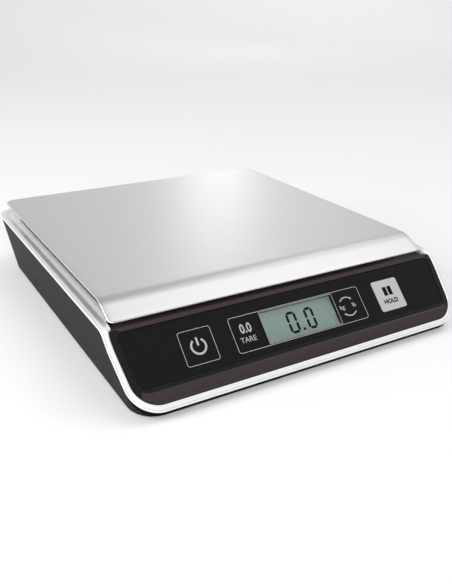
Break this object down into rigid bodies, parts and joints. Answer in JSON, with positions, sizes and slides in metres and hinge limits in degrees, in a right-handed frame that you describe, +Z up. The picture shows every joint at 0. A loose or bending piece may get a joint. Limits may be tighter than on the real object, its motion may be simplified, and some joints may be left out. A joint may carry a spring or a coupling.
{
  "type": "digital letter scale",
  "caption": "Flat electronic letter scale: square steel weighing platform with a bent front lip on a wedge-front plastic casing, with a sloping panel of keys and a display.",
  "frame": {"origin": "under the middle of the casing, on the plane that the feet stand on", "axes": "+Z up, +X to the user's right, -Y the front, where the panel faces the user"},
  "size_m": [0.2144, 0.2434, 0.045],
  "materials": {
    "steel": "satin",
    "silver_plastic": "satin silver paint on plastic",
    "black_plastic": "fine texture",
    "gloss_black": "gloss",
    "key_silver": "satin silver",
    "clear_lens": "clear",
    "lcd": "grey-green display",
    "aluminium": "milled",
    "zinc": "plated",
    "rubber": "matte",
    "silicone": "matte",
    "board_green": "solder mask",
    "cell_jacket": "gloss sleeve",
    "wire_red": "insulation",
    "wire_black": "insulation",
    "wire_grey": "insulation"
  },
  "bodies": {
    "casing": {"battery_1": "cell_jacket", "battery_2": "cell_jacket", "battery_3": "cell_jacket", "battery_lead_negative": "wire_black", "battery_lead_positive": "wire_red", "battery_spring_1": "zinc", "battery_spring_2": "zinc", "battery_spring_3": "zinc", "board_screw_1": "zinc", "board_screw_2": "zinc", "casing_screw_1": "zinc", "casing_screw_2": "zinc", "casing_screw_3": "zinc", "casing_screw_4": "zinc", "contact_bridge_left": "zinc", "contact_bridge_right": "zinc", "contact_negative": "zinc", "contact_positive": "zinc", "control_overlay": "gloss_black", "display_lens": "clear_lens", "foot_1": "rubber", "foot_2": "rubber", "foot_3": "rubber", "foot_4": "rubber", "front_bezel": "black_plastic", "lcd_connector_strip": "rubber", "lcd_frame": "black_plastic", "lcd_glass": "lcd", "load_cell": "aluminium", "load_cell_cable": "wire_grey", "load_cell_fixed_screw_1": "zinc", "load_cell_fixed_screw_2": "zinc", "lower_casing": "black_plastic", "main_board": "board_green", "microcontroller": "black_plastic", "switch_body_hold": "black_plastic", "switch_body_power": "black_plastic", "switch_body_tare": "black_plastic", "switch_body_units": "black_plastic", "upper_casing": "silver_plastic", "usb_board": "board_green", "usb_lead": "wire_grey", "usb_socket": "zinc"},
    "platform": {"load_cell_live_screw_1": "zinc", "load_cell_live_screw_2": "zinc", "platform_carrier": "black_plastic", "platform_cushion_1": "silicone", "platform_cushion_2": "silicone", "platform_cushion_3": "silicone", "platform_cushion_4": "silicone", "platform_plate": "steel"},
    "key_power": {"key_power": "gloss_black", "switch_plunger_power": "wire_red"},
    "key_tare": {"key_tare": "gloss_black", "switch_plunger_tare": "wire_red"},
    "key_units": {"key_units": "gloss_black", "switch_plunger_units": "wire_red"},
    "key_hold": {"key_hold": "key_silver", "switch_plunger_hold": "wire_red"},
    "battery_door": {"battery_door": "black_plastic"}
  },
  "joints": [
    {"name": "platform_weigh", "type": "slide", "parent": "casing", "child": "platform", "axis": [0, 0, -1], "range_m": [0, 0.0005], "stiffness_N_per_m": 245000, "deforming": ["load_cell"]},
    {"name": "battery_door_hinge", "type": "hinge", "parent": "casing", "child": "battery_door", "pos_m": [0.00895, 0, 0.00305], "axis": [0, 1, 0], "range_deg": [0, 60]},
    {"name": "key_power_press", "type": "slide", "parent": "casing", "child": "key_power", "axis": [0, 0.7071, -0.7071], "range_m": [0, 0.0004], "stiffness_N_per_m": 3200},
    {"name": "key_tare_press", "type": "slide", "parent": "casing", "child": "key_tare", "axis": [0, 0.7071, -0.7071], "range_m": [0, 0.0004], "stiffness_N_per_m": 3200},
    {"name": "key_units_press", "type": "slide", "parent": "casing", "child": "key_units", "axis": [0, 0.7071, -0.7071], "range_m": [0, 0.0004], "stiffness_N_per_m": 3200},
    {"name": "key_hold_press", "type": "slide", "parent": "casing", "child": "key_hold", "axis": [0, 0.7071, -0.7071], "range_m": [0, 0.0004], "stiffness_N_per_m": 3200}
  ]
}
